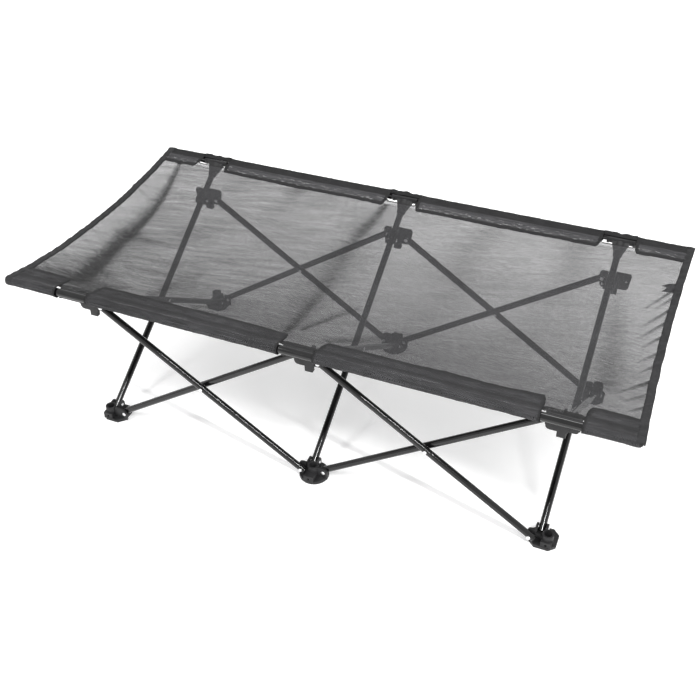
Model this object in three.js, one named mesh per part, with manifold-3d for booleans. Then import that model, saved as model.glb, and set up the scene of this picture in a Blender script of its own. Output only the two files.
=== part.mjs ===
// Folding cot: a scissor frame of steel tubes with moulded joints, and a mesh cover on two rails.
// Millimetres, +Z up, +X along the length. The origin is on the floor below the middle of the cot.
import * as THREE from 'three';
import { mergeVertices } from 'three/addons/utils/BufferGeometryUtils.js';
import Module from 'manifold-3d';

const wasm = await Module();
wasm.setup();

// ---- driving dimensions ----
const TUBE_RADIUS = 7;          // leg tubes, outside
const TUBE_WALL = 1.2;
const RAIL_RADIUS = 8;          // side rails, outside
const RAIL_WALL = 1.4;
const CAP_PLUG = 14;            // rail end caps, inside the rail
const CAP_FACE = 3;             // and beyond its end
const PIN_SPAN = 516;           // foot pivot to hub pivot, on every tube
const OPEN_ANGLE = 33.8;        // slope of every tube when the cot stands open, degrees
const PIN_HEIGHT = 18;          // foot pivots above the floor
const EAR_REACH = 23;           // side tube pivots, sideways from a station's centre
const SIDE_PLANE = 22;          // crossing plane of the side tubes, outboard of the cross pivots
const TUBE_STEP = 7.5;          // each tube of a crossing pair stands this far off their shared plane
const RAIL_REACH = 107;         // hub pivot to rail axis, along the cross tube
const OVERHANG = 138;           // end station to end of cover
const TUBE_END = 7.5;           // tube left beyond a pivot
const PIN_RADIUS = 2;
const PIN_HOLE = 2.4;
const PIN_HEAD = 4;
const HEAD_THICKNESS = 1.8;
const GAP = 0.3;                // clearance between neighbouring pieces

// ---- moulded foot ----
const FOOT_CENTRE = 18;         // middle foot's centre, outboard of the cross pivot
const END_FOOT_CENTRE = 12;     // the end feet's centre, likewise
const FOOT_RADIUS = 30.5;       // round foot
const FOOT_HALF = 26;           // half width of the chamfered end foot
const FOOT_CHAMFER = 12;
const FOOT_BASE = 7;
const TOWER_CENTRE = 22.5;      // socket tower, outboard of the cross pivot
const TOWER_SHIFT = 8;          // end feet carry the tower nearer the end of the cot
const TOWER_RADIUS = 11.2;
const TOWER_HEIGHT = 30;
const SOCKET_RADIUS = 8;
const SOCKET_FLOOR = 7;
const BLOCK_HEIGHT = 19;
const BLOCK_HALF = 10.5;
const BLOCK_INSET = 0.6;        // front block, back from the edge of the foot
const PEG_HOLE = 2.6;
const CHEEK = 4;                // thickness of the cheeks beside a cross tube
const CHEEK_RADIUS = 10;
const LOW_CHEEK_RADIUS = 7.5;   // the foot's cheek on the tower's side of the tube
const EAR = 4.7;                // thickness of the ears that carry the side tubes
const EAR_RADIUS = 9;
const EAR_RISE = 2;             // top of the ears, above their round ends

// ---- moulded hub ----
const HUB_HALF = 32;
const HUB_TOP = 19;
const HUB_BOTTOM = -19;
const HUB_CORNER = 7;
const HUB_LUG_HALF = 8;
const HUB_LUG_DROP = 12;

// ---- moulded saddle ----
const SADDLE_LENGTH = 58;
const SADDLE_BORE = RAIL_RADIUS + 0.5;
const SADDLE_WALL = 2.6;
const SADDLE_WRAP = 65;         // degrees of tray on each side of the tube direction
const COLLAR_RADIUS = 10;
const COLLAR_START = -42;       // along the tube, from the rail axis
const COLLAR_END = -13;
const COLLAR_TAPER = 4;         // length and depth of the taper at the collar's open end
const COLLAR_THIN = 1.5;
const NECK_HALF = 18;           // web between the tray and the collar
const NECK_END = -31;
const NECK_THICK = 11;
const LIP = 1.2;                // raised rims at both ends of the tray
const LIP_LENGTH = 5;
const TRAY_SEGMENTS = 7;

// ---- cover ----
const CLOTH = 1.5;              // thickness of the plain cloth solids
const CLOTH_LIFT = 8.8;         // cloth above the rail axis where it passes over the rail
const SAG = 36;                 // drop of the cloth from the rails to the middle
const RAIL_INSET = 7;           // rails end this far inside the cover's ends
const FLAP = 52;                // width of the doubled strip inboard of each rail
const SLEEVE_RADIUS = 9.9;
const BINDING = 15;             // width of the tape on each end
const NOTCH_HALF = 36;          // half width of the openings at the saddles
const NOTCH_DEPTH = 36;         // their inboard reach from the rail's axis
const TAB_SIZE = 22;            // small folded tab below the right end
const TAB_THICK = 2;
const TAB_PLACE = 0.55;         // its place from the middle of the end to the rail
const TUBE_SIDES = 12;

// ---- places worked out from them ----
const slope = THREE.MathUtils.degToRad(OPEN_ANGLE);
const pivotHalf = PIN_SPAN / 2 * Math.cos(slope);
const bay = 2 * (pivotHalf + EAR_REACH);
const hubHeight = PIN_HEIGHT + PIN_SPAN * Math.sin(slope);
const crossHeight = PIN_HEIGHT + PIN_SPAN / 2 * Math.sin(slope);
const railY = pivotHalf + RAIL_REACH * Math.cos(slope);
const railHeight = hubHeight + RAIL_REACH * Math.sin(slope);
const coverHalf = bay + OVERHANG;
const stations = [{ name: 'left', at: -1 }, { name: 'mid', at: 0 }, { name: 'right', at: 1 }];
const sides = [{ name: 'near', sign: -1 }, { name: 'far', sign: 1 }];

function material(color, roughness, metalness) {
  return new THREE.MeshStandardMaterial({ color, roughness, metalness });
}

const paint = material(0x141416, 0.32, 0.4);
const plastic = material(0x17171a, 0.6, 0);
const steel = material(0xc9cacc, 0.3, 0.9);
const meshCloth = material(0x38383b, 0.9, 0);
const sleeveCloth = material(0x1d1d20, 0.85, 0);
const tapeCloth = material(0x151517, 0.8, 0);

const cot = new THREE.Group();

// ---- solids ----
function solid(geometry, place = new THREE.Matrix4()) {
  const bare = geometry.clone().applyMatrix4(place);
  bare.deleteAttribute('normal');
  bare.deleteAttribute('uv');
  const merged = mergeVertices(bare, 1e-4);
  const mesh = new wasm.Mesh({
    numProp: 3,
    vertProperties: new Float32Array(merged.attributes.position.array),
    triVerts: new Uint32Array(merged.index.array),
  });
  return new wasm.Manifold(mesh);
}

function geometryOf(body) {
  const mesh = body.getMesh();
  const geometry = new THREE.BufferGeometry();
  geometry.setAttribute('position', new THREE.BufferAttribute(new Float32Array(mesh.vertProperties), 3));
  geometry.setIndex(new THREE.BufferAttribute(new Uint32Array(mesh.triVerts), 1));
  geometry.computeVertexNormals();
  return geometry;
}

const join = (...bodies) => bodies.reduce((whole, next) => whole.add(next));
const cut = (body, ...tools) => tools.reduce((rest, tool) => rest.subtract(tool), body);
const moved = (x, y, z) => new THREE.Matrix4().makeTranslation(x, y, z);

function add(name, shape, colour, place = new THREE.Matrix4()) {
  const geometry = shape.isBufferGeometry ? shape : geometryOf(shape);
  const mesh = new THREE.Mesh(geometry, colour);
  mesh.name = name;
  mesh.applyMatrix4(place);
  cot.add(mesh);
}

function box(x0, x1, y0, y1, z0, z1) {
  const place = moved((x0 + x1) / 2, (y0 + y1) / 2, (z0 + z1) / 2);
  return solid(new THREE.BoxGeometry(x1 - x0, y1 - y0, z1 - z0), place);
}

// A round bar between two heights, standing on +Z.
function upright(radius, z0, z1, x = 0, y = 0, sideCount = 16) {
  const bar = new THREE.CylinderGeometry(radius, radius, z1 - z0, sideCount);
  bar.rotateX(Math.PI / 2);
  return solid(bar, moved(x, y, (z0 + z1) / 2));
}

function barAlongX(radius, x0, x1, y, z, sideCount = 12) {
  const bar = new THREE.CylinderGeometry(radius, radius, x1 - x0, sideCount);
  bar.rotateZ(Math.PI / 2);
  return solid(bar, moved((x0 + x1) / 2, y, z));
}

function barAlongY(radius, y0, y1, x, z, sideCount = 12) {
  const bar = new THREE.CylinderGeometry(radius, radius, y1 - y0, sideCount);
  return solid(bar, moved(x, (y0 + y1) / 2, z));
}

// A profile of [radius, height] points turned about +Z, closing on itself.
function turned(points, sideCount = TUBE_SIDES) {
  const profile = points.map(([r, h]) => new THREE.Vector2(r, h));
  const geometry = new THREE.LatheGeometry(profile, sideCount);
  geometry.rotateX(Math.PI / 2);
  return geometry;
}

function pipe(outer, inner, z0, z1, sideCount = TUBE_SIDES) {
  return turned([[inner, z0], [outer, z0], [outer, z1], [inner, z1], [inner, z0]], sideCount);
}

// An outline in X and Z, thick along Y from y0 to y1.
function plateXZ(shape, y0, y1, curveSegments = 3) {
  const plate = new THREE.ExtrudeGeometry(shape, { depth: y1 - y0, bevelEnabled: false, curveSegments });
  plate.rotateX(Math.PI / 2);
  return solid(plate, moved(0, y1, 0));
}

// An outline in Y and Z, thick along X from x0 to x1.
function plateYZ(shape, x0, x1, curveSegments = 4) {
  const plate = new THREE.ExtrudeGeometry(shape, { depth: x1 - x0, bevelEnabled: false, curveSegments });
  const basis = new THREE.Matrix4().makeBasis(
    new THREE.Vector3(0, 1, 0), new THREE.Vector3(0, 0, 1), new THREE.Vector3(1, 0, 0));
  return solid(plate, moved(x0, 0, 0).multiply(basis));
}

// Turns +Z onto a direction, keeping X level.
function aimed(origin, direction) {
  const turn = new THREE.Quaternion().setFromUnitVectors(new THREE.Vector3(0, 0, 1), direction);
  return new THREE.Matrix4().compose(origin, turn, new THREE.Vector3(1, 1, 1));
}

// A rivet along +Z with a domed head at each end.
function rivet(reach) {
  const crown = PIN_HEAD * 0.7;
  const top = reach + HEAD_THICKNESS;
  return turned([
    [0, -top], [crown, -top], [PIN_HEAD, -reach], [PIN_RADIUS, -reach],
    [PIN_RADIUS, reach], [PIN_HEAD, reach], [crown, top], [0, top],
  ], 10);
}

// Parts of the far side are the near side's turned half round about +Z.
const halfTurn = (sign) => new THREE.Matrix4().makeRotationZ(sign > 0 ? Math.PI : 0);
const stationPlace = (at, sign) => moved(at * bay, sign * pivotHalf, 0).multiply(halfTurn(sign));

// ---- feet: near side shape, outboard is -Y, the cross pivot stands over the local origin ----
function earShape(reachSign, bottom, top, inner) {
  const outer = EAR_REACH + EAR_RADIUS;
  const shape = new THREE.Shape();
  shape.moveTo(reachSign * inner, bottom);
  shape.lineTo(reachSign * outer, bottom);
  shape.lineTo(reachSign * outer, top - EAR_RADIUS);
  shape.quadraticCurveTo(reachSign * outer, top, reachSign * (outer - EAR_RADIUS), top);
  shape.lineTo(reachSign * inner, top);
  shape.closePath();
  return shape;
}

function cheekShape(outboard, bottom, radius) {
  const shape = new THREE.Shape();
  shape.moveTo(radius, bottom);
  shape.lineTo(radius, PIN_HEIGHT);
  shape.absarc(0, PIN_HEIGHT, radius, 0, Math.PI / 2, false);
  shape.quadraticCurveTo(-outboard, PIN_HEIGHT + radius, -outboard, PIN_HEIGHT - 2);
  shape.lineTo(-outboard, bottom);
  shape.closePath();
  return shape;
}

function footBase(isEnd) {
  if (!isEnd) return upright(FOOT_RADIUS, 0, FOOT_BASE, 0, -FOOT_CENTRE, 32);
  const w = FOOT_HALF;
  const c = FOOT_HALF - FOOT_CHAMFER;
  const outline = new THREE.Shape([
    [-w, -c], [-c, -w], [c, -w], [w, -c], [w, c], [c, w], [-c, w], [-w, c],
  ].map(([x, y]) => new THREE.Vector2(x, y - END_FOOT_CENTRE)));
  return solid(new THREE.ExtrudeGeometry(outline, { depth: FOOT_BASE, bevelEnabled: false }));
}

function foot(at, sign) {
  const endSide = at * -sign;                       // -1, 0 or 1: which way the cot ends, in foot terms
  const towerX = endSide * TOWER_SHIFT;
  const tube = -TUBE_STEP;
  const gapHalf = TUBE_RADIUS + 0.5;
  const edge = endSide === 0 ? FOOT_CENTRE + FOOT_RADIUS : END_FOOT_CENTRE + FOOT_HALF;
  const outward = BLOCK_INSET - edge;
  const lowCheek = cheekShape(SIDE_PLANE - EAR / 2, FOOT_BASE / 2, LOW_CHEEK_RADIUS);
  const highCheek = cheekShape(TOWER_CENTRE - TOWER_RADIUS * 0.6, FOOT_BASE / 2, CHEEK_RADIUS);
  let body = join(
    footBase(endSide !== 0),
    upright(TOWER_RADIUS, FOOT_BASE / 2, TOWER_HEIGHT, towerX, -TOWER_CENTRE),
    box(towerX - BLOCK_HALF, towerX + BLOCK_HALF, outward, -TOWER_CENTRE - 4, FOOT_BASE / 2, BLOCK_HEIGHT),
    plateYZ(lowCheek, tube - gapHalf - CHEEK, tube - gapHalf),
    plateYZ(highCheek, tube + gapHalf, tube + gapHalf + CHEEK),
  );
  const earTop = PIN_HEIGHT + EAR_RADIUS + EAR_RISE;
  if (endSide !== -1) {
    const ear = earShape(-1, FOOT_BASE / 2, earTop, TUBE_STEP + gapHalf + 1);
    body = body.add(plateXZ(ear, -SIDE_PLANE, -SIDE_PLANE + EAR));
    body = body.add(box(-TUBE_STEP - gapHalf - 2, towerX, -SIDE_PLANE, -SIDE_PLANE + EAR, 4, BLOCK_HEIGHT));
  }
  if (endSide !== 1) {
    const ear = earShape(1, FOOT_BASE / 2, earTop, 4);
    body = body.add(plateXZ(ear, -SIDE_PLANE - EAR, -SIDE_PLANE));
  }
  body = cut(
    body,
    upright(SOCKET_RADIUS, SOCKET_FLOOR, TOWER_HEIGHT + 5, towerX, -TOWER_CENTRE),
    barAlongX(PIN_HOLE, tube - gapHalf - CHEEK - 1, tube + gapHalf + CHEEK + 0.2, 0, PIN_HEIGHT, 8),
    barAlongY(PEG_HOLE, outward - 1, -TOWER_CENTRE - SOCKET_RADIUS + 2, towerX, BLOCK_HEIGHT / 2 + 2, 8),
  );
  return body;
}

// ---- hubs: near side shape, outboard is -Y, the cross pivot is the local origin ----
function wingShape(reachSign, inner) {
  const outer = HUB_HALF;
  const low = outer - 4;                            // the wing narrows a little towards its foot
  const shape = new THREE.Shape();
  shape.moveTo(reachSign * inner, HUB_BOTTOM);
  shape.lineTo(reachSign * (low - HUB_CORNER), HUB_BOTTOM);
  shape.quadraticCurveTo(reachSign * low, HUB_BOTTOM, reachSign * (low + 1), HUB_BOTTOM + HUB_CORNER);
  shape.lineTo(reachSign * outer, HUB_TOP - HUB_CORNER);
  shape.quadraticCurveTo(reachSign * outer, HUB_TOP, reachSign * (outer - HUB_CORNER), HUB_TOP);
  shape.lineTo(reachSign * inner, HUB_TOP);
  shape.closePath();
  return shape;
}

function hubCheek() {
  const shape = new THREE.Shape();
  shape.moveTo(-SIDE_PLANE, -CHEEK_RADIUS);
  shape.lineTo(0, -CHEEK_RADIUS);
  shape.absarc(0, 0, CHEEK_RADIUS, -Math.PI / 2, Math.PI / 2, false);
  shape.lineTo(-SIDE_PLANE, CHEEK_RADIUS + 4);
  shape.closePath();
  return shape;
}

function hub() {
  const tube = TUBE_STEP;
  const gapHalf = TUBE_RADIUS + 0.5;
  const slotTop = TUBE_STEP + gapHalf;
  const bridgeTop = -3;
  return cut(
    join(
      plateXZ(wingShape(-1, -tube + gapHalf), -SIDE_PLANE - EAR, -SIDE_PLANE),
      plateXZ(wingShape(1, slotTop), -SIDE_PLANE, -SIDE_PLANE + EAR),
      box(-CHEEK, slotTop + CHEEK, -SIDE_PLANE, -SIDE_PLANE + 2 * EAR, HUB_BOTTOM, bridgeTop),
      box(-CHEEK, slotTop - CHEEK, -SIDE_PLANE - EAR, -SIDE_PLANE + 1, HUB_BOTTOM, bridgeTop),
      box(-HUB_LUG_HALF, HUB_LUG_HALF, -SIDE_PLANE - EAR, -SIDE_PLANE + EAR,
        HUB_BOTTOM - HUB_LUG_DROP, HUB_BOTTOM + 1),
      plateYZ(hubCheek(), tube - gapHalf - CHEEK, tube - gapHalf),
      plateYZ(hubCheek(), tube + gapHalf, tube + gapHalf + CHEEK),
    ),
    box(tube - gapHalf, tube + gapHalf, -SIDE_PLANE - EAR - 1, 40, bridgeTop, HUB_TOP + 5),
    barAlongX(PIN_HOLE, -CHEEK - 1, slotTop + CHEEK + 1, 0, 0, 8),
    barAlongY(PIN_HOLE, -40, 0, EAR_REACH, 0, 8),
    barAlongY(PIN_HOLE, -40, 0, -EAR_REACH, 0, 8),
  );
}

// ---- saddles: +Z runs up the tube, the rail axis is the local origin, and runs along X ----
function trayShape(inner, outer) {
  const wrap = THREE.MathUtils.degToRad(SADDLE_WRAP);
  const down = -Math.PI / 2;
  const shape = new THREE.Shape();
  shape.absarc(0, 0, outer, down - wrap, down + wrap, false);
  shape.absarc(0, 0, inner, down + wrap, down - wrap, true);
  shape.closePath();
  return shape;
}

function saddle() {
  const tray = trayShape(SADDLE_BORE, SADDLE_BORE + SADDLE_WALL);
  const lip = trayShape(SADDLE_BORE + LIP / 3, SADDLE_BORE + SADDLE_WALL + LIP);
  const half = SADDLE_LENGTH / 2;
  const bore = TUBE_RADIUS + GAP;
  const neckTop = -SADDLE_BORE - 1;
  const collar = turned([
    [bore, COLLAR_START], [COLLAR_RADIUS - COLLAR_THIN, COLLAR_START],
    [COLLAR_RADIUS, COLLAR_START + COLLAR_TAPER], [COLLAR_RADIUS, COLLAR_END],
    [bore, COLLAR_END], [bore, COLLAR_START],
  ]);
  const neck = new THREE.Shape([
    [-COLLAR_RADIUS, NECK_END], [COLLAR_RADIUS, NECK_END], [NECK_HALF, neckTop], [-NECK_HALF, neckTop],
  ].map(([x, z]) => new THREE.Vector2(x, z)));
  const tubeSpace = solid(turned([
    [0, COLLAR_START], [bore, COLLAR_START], [bore, COLLAR_END], [0, COLLAR_END],
  ]));
  return join(
    solid(collar),
    upright(COLLAR_RADIUS, COLLAR_END - 0.5, neckTop, 0, 0, TUBE_SIDES),
    cut(plateXZ(neck, -NECK_THICK / 2, NECK_THICK / 2), tubeSpace),
    plateYZ(tray, -half, half, TRAY_SEGMENTS),
    plateYZ(lip, -half, -half + LIP_LENGTH, TRAY_SEGMENTS),
    plateYZ(lip, half - LIP_LENGTH, half, TRAY_SEGMENTS),
  );
}

// ---- tubes ----
function crossTube() {
  const length = PIN_SPAN + RAIL_REACH + COLLAR_END - 2 * GAP;
  return cut(
    solid(pipe(TUBE_RADIUS, TUBE_RADIUS - TUBE_WALL, -TUBE_END, length)),
    ...[0, PIN_SPAN / 2, PIN_SPAN].map((z) => barAlongX(PIN_HOLE, -10, 10, 0, z, 6)),
  );
}

function sideTube() {
  return cut(
    solid(pipe(TUBE_RADIUS, TUBE_RADIUS - TUBE_WALL, -TUBE_END, PIN_SPAN + TUBE_END)),
    ...[0, PIN_SPAN / 2, PIN_SPAN].map((z) => barAlongY(PIN_HOLE, -10, 10, 0, z, 6)),
  );
}

// ---- cloth: height of the cloth's underside at a distance y from the middle ----
const clothHeight = (y) => railHeight + CLOTH_LIFT - SAG * (1 - (y / railY) ** 2);

function clothStrip(y0, y1, steps) {
  const rows = Array.from({ length: steps + 1 }, (_, i) => y0 + (y1 - y0) * i / steps);
  const under = rows.map((y) => new THREE.Vector2(y, clothHeight(y)));
  const over = rows.map((y) => new THREE.Vector2(y, clothHeight(y) + CLOTH)).reverse();
  return new THREE.Shape([...under, ...over]);
}

// The near sleeve: a tube of cloth round the rail and the doubled strip inboard of it.
function sleeve() {
  const end = coverHalf - BINDING - GAP;
  const ring = new THREE.Shape();
  ring.absarc(-railY, railHeight, SLEEVE_RADIUS, 0, 2 * Math.PI, false);
  const hole = new THREE.Path();
  hole.absarc(-railY, railHeight, RAIL_RADIUS + 2 * GAP, 0, 2 * Math.PI, true);
  ring.holes.push(hole);
  const strip = plateYZ(clothStrip(-railY, -railY + FLAP, 4), -end, end);
  const notches = stations.map(({ at }) => {
    const middle = at * bay + TUBE_STEP;
    return box(middle - NOTCH_HALF, middle + NOTCH_HALF, -railY - 2 * SLEEVE_RADIUS, -railY + NOTCH_DEPTH,
      railHeight - 2 * SLEEVE_RADIUS, railHeight + 2 * SLEEVE_RADIUS);
  });
  return cut(join(plateYZ(ring, -end, end, 8), strip), ...notches);
}

// ---- the assembly ----
for (const { name: station, at } of stations) {
  for (const { name: side, sign } of sides) {
    const place = stationPlace(at, sign);
    add(`foot_${side}_${station}`, foot(at, sign), plastic, place);
    add(`foot_pin_${side}_${station}`, rivet(TUBE_RADIUS + 0.5 + CHEEK + GAP), steel,
      place.clone().multiply(moved(-TUBE_STEP, 0, PIN_HEIGHT))
        .multiply(new THREE.Matrix4().makeRotationY(Math.PI / 2)));
    add(`hub_${side}_${station}`, hub(), plastic, place.clone().multiply(moved(0, 0, hubHeight)));

    // The tube whose foot is on this side leans across to the other side's rail.
    const letter = sign < 0 ? 'a' : 'b';
    const footPoint = new THREE.Vector3(at * bay + sign * TUBE_STEP, sign * pivotHalf, PIN_HEIGHT);
    const lean = new THREE.Vector3(0, -sign * Math.cos(slope), Math.sin(slope));
    add(`cross_tube_${letter}_${station}`, crossTube(), paint, aimed(footPoint, lean));
    const railPoint = footPoint.clone().addScaledVector(lean, PIN_SPAN + RAIL_REACH);
    add(`saddle_${sign < 0 ? 'far' : 'near'}_${station}`, saddle(), plastic, aimed(railPoint, lean));
  }
  add(`cross_rivet_${station}`, rivet(2 * TUBE_RADIUS + 0.5 + GAP), steel,
    moved(at * bay, 0, crossHeight).multiply(new THREE.Matrix4().makeRotationY(Math.PI / 2)));
}

for (const { name: side, sign } of sides) {
  for (const [bayName, middle] of [['left', -bay / 2], ['right', bay / 2]]) {
    for (const [layer, rise] of [['outer', sign], ['inner', -sign]]) {
      const off = SIDE_PLANE + (layer === 'outer' ? TUBE_STEP : -TUBE_STEP);
      const footPoint = new THREE.Vector3(middle - rise * pivotHalf, sign * (pivotHalf + off), PIN_HEIGHT);
      const lean = new THREE.Vector3(rise * Math.cos(slope), 0, Math.sin(slope));
      add(`side_tube_${side}_${bayName}_${layer}`, sideTube(), paint, aimed(footPoint, lean));
    }
    add(`side_rivet_${side}_${bayName}`, rivet(2 * TUBE_RADIUS + 0.5 + GAP), steel,
      moved(middle, sign * (pivotHalf + SIDE_PLANE), crossHeight)
        .multiply(new THREE.Matrix4().makeRotationX(Math.PI / 2)));
  }

  const railHalf = coverHalf - RAIL_INSET;
  const railPlace = (x, turn) => moved(x, sign * railY, railHeight)
    .multiply(new THREE.Matrix4().makeRotationY(turn * Math.PI / 2));
  const railTube = pipe(RAIL_RADIUS, RAIL_RADIUS - RAIL_WALL, -railHalf, railHalf);
  add(`rail_${side}`, railTube, paint, railPlace(0, 1));
  for (const [endName, end] of [['left', -1], ['right', 1]]) {
    const spigot = RAIL_RADIUS - RAIL_WALL - GAP;
    const cap = turned([
      [0, -CAP_PLUG], [spigot, -CAP_PLUG], [spigot, GAP], [RAIL_RADIUS, GAP],
      [RAIL_RADIUS, CAP_FACE - 1], [RAIL_RADIUS - 1.5, CAP_FACE], [0, CAP_FACE],
    ]);
    add(`rail_cap_${side}_${endName}`, cap, plastic, railPlace(end * railHalf, end));
  }
  add(`sleeve_${side}`, sleeve(), sleeveCloth, halfTurn(sign));
}

const panelHalf = railY - FLAP - GAP;
add('mesh_panel', plateYZ(clothStrip(-panelHalf, panelHalf, 10), -coverHalf + BINDING + GAP,
  coverHalf - BINDING - GAP), meshCloth);
for (const [endName, end] of [['left', -1], ['right', 1]]) {
  const outer = end * coverHalf;
  const inner = end * (coverHalf - BINDING);
  add(`end_binding_${endName}`, plateYZ(clothStrip(-railY, railY, 14), Math.min(outer, inner),
    Math.max(outer, inner)), tapeCloth);
}
const tabY = railY * TAB_PLACE;
const tabTop = clothHeight(tabY - TAB_SIZE) - CLOTH;
add('pull_tab', box(coverHalf - TAB_SIZE - 10, coverHalf - 10, tabY - TAB_SIZE / 2, tabY + TAB_SIZE / 2,
  tabTop - TAB_THICK, tabTop), tapeCloth);

export default cot;
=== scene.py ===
import math

import bpy
import numpy as np
from mathutils import Matrix, Vector, noise


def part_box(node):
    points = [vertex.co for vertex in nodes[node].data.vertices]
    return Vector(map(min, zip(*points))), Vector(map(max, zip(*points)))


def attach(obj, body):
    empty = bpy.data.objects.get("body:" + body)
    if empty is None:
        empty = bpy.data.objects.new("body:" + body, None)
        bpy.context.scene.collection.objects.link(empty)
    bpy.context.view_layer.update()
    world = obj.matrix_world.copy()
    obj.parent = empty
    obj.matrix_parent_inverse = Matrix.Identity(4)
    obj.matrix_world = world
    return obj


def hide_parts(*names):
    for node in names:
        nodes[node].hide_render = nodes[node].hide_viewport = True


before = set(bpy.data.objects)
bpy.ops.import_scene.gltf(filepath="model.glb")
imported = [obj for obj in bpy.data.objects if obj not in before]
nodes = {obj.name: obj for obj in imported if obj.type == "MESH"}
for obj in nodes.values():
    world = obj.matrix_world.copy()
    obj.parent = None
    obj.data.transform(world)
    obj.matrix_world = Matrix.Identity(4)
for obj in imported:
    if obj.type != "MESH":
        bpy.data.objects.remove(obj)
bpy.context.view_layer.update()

# ---- places read from the frame, in metres ----
rail_low, rail_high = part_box("rail_near")
RAIL_Y = -(rail_low.y + rail_high.y) / 2
RAIL_Z = (rail_low.z + rail_high.z) / 2
RAIL_R = (rail_high.y - rail_low.y) / 2
END_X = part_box("end_binding_right")[1].x
TAPE = END_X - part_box("end_binding_right")[0].x
FLAP = RAIL_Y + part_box("sleeve_near")[1].y          # strip width inboard of the rail axis
SIDES = {"near": -1, "far": 1}


def centre(node):
    low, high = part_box(node)
    return (low + high) / 2


def centre_x(node):
    low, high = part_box(node)
    return (low.x + high.x) / 2


STATIONS = {name: centre_x(f"foot_near_{name}") for name in ("left", "mid", "right")}

# ---- camera, at the photograph's viewing angle ----
LENS, SENSOR = 49.8, 36                              # millimetres
CAMERA_PLACE = (0.61797, -1.50907, 1.40674)
CAMERA_RIGHT = Vector((0.92293, 0.38493, -0.00436))
CAMERA_UP = Vector((-0.23131, 0.56358, 0.79302))
CAMERA_BACK = Vector((0.30771, -0.73090, 0.60918))


def make_camera():
    data = bpy.data.cameras.new("camera")
    data.sensor_width = SENSOR
    data.lens = LENS
    camera = bpy.data.objects.new("camera", data)
    bpy.context.collection.objects.link(camera)
    turn = Matrix((CAMERA_RIGHT, CAMERA_UP, CAMERA_BACK)).transposed().to_4x4()
    camera.matrix_world = Matrix.Translation(CAMERA_PLACE) @ turn
    bpy.context.scene.camera = camera
    bpy.context.scene.view_settings.view_transform = "Standard"


# ---- node helpers ----
def new_material(name):
    material = bpy.data.materials.new(name)
    material.use_nodes = True
    tree = material.node_tree
    tree.nodes.clear()
    out = tree.nodes.new("ShaderNodeOutputMaterial")
    shader = tree.nodes.new("ShaderNodeBsdfPrincipled")
    tree.links.new(shader.outputs[0], out.inputs[0])
    return material, tree, shader


def link(tree, source, target):
    tree.links.new(source, target)


def coords(tree, scale=(1, 1, 1), rotation=(0, 0, 0)):
    """Places on the piece, stretched and turned before a texture reads them."""
    place = tree.nodes.new("ShaderNodeTexCoord")
    mapping = tree.nodes.new("ShaderNodeMapping")
    mapping.inputs["Scale"].default_value = scale
    mapping.inputs["Rotation"].default_value = rotation
    link(tree, place.outputs["Object"], mapping.inputs[0])
    return mapping.outputs[0]


def noise_node(tree, where, scale, detail=3.0, roughness=0.5):
    node = tree.nodes.new("ShaderNodeTexNoise")
    node.inputs["Scale"].default_value = scale
    node.inputs["Detail"].default_value = detail
    node.inputs["Roughness"].default_value = roughness
    link(tree, where, node.inputs["Vector"])
    return node.outputs["Fac"]


def remap(tree, value, span, target):
    """A value between the two ends of span, moved to the same place between the ends of target."""
    node = tree.nodes.new("ShaderNodeMapRange")
    for socket, number in zip(node.inputs[1:5], (*span, *target)):
        socket.default_value = number
    link(tree, value, node.inputs[0])
    return node.outputs[0]


def math_node(tree, kind, a, b=None):
    node = tree.nodes.new("ShaderNodeMath")
    node.operation = kind
    for socket, value in zip(node.inputs, (a, b)):
        if value is None:
            continue
        if isinstance(value, (int, float)):
            socket.default_value = value
        else:
            link(tree, value, socket)
    return node.outputs[0]


def blend_colour(tree, factor, a, b):
    node = tree.nodes.new("ShaderNodeMix")
    node.data_type = "RGBA"
    node.inputs["A"].default_value = (*a, 1)
    node.inputs["B"].default_value = (*b, 1)
    link(tree, factor, node.inputs["Factor"])
    return node.outputs["Result"]


def bump(tree, shader, height, strength, distance):
    node = tree.nodes.new("ShaderNodeBump")
    node.inputs["Strength"].default_value = strength
    node.inputs["Distance"].default_value = distance
    link(tree, height, node.inputs["Height"])
    link(tree, node.outputs[0], shader.inputs["Normal"])


def grey(value, blue=1.04):
    return (value, value * 0.99, value * blue)


# ---- materials ----
def paint_material():
    material, tree, shader = new_material("gloss_black_paint")
    where = coords(tree)
    mottle = noise_node(tree, where, scale=35, detail=4)
    scratches = noise_node(tree, coords(tree, scale=(1, 1, 0.2)), scale=260, detail=5, roughness=0.7)
    scuff = remap(tree, scratches, (0.64, 0.8), (0, 1))
    scuff_tone = math_node(tree, "MULTIPLY", scuff, 0.3)
    tone = math_node(tree, "ADD", scuff_tone, remap(tree, mottle, (0.4, 0.7), (0, 0.2)))
    link(tree, blend_colour(tree, tone, grey(0.003), grey(0.02)), shader.inputs["Base Color"])
    scuff_rough = math_node(tree, "MULTIPLY", scuff, 0.2)
    rough = math_node(tree, "ADD", remap(tree, mottle, (0.3, 0.7), (0.06, 0.10)), scuff_rough)
    link(tree, rough, shader.inputs["Roughness"])
    shader.inputs["Specular IOR Level"].default_value = 0.42
    bump(tree, shader, noise_node(tree, where, scale=520, detail=2), strength=0.03, distance=0.0003)
    return material


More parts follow.
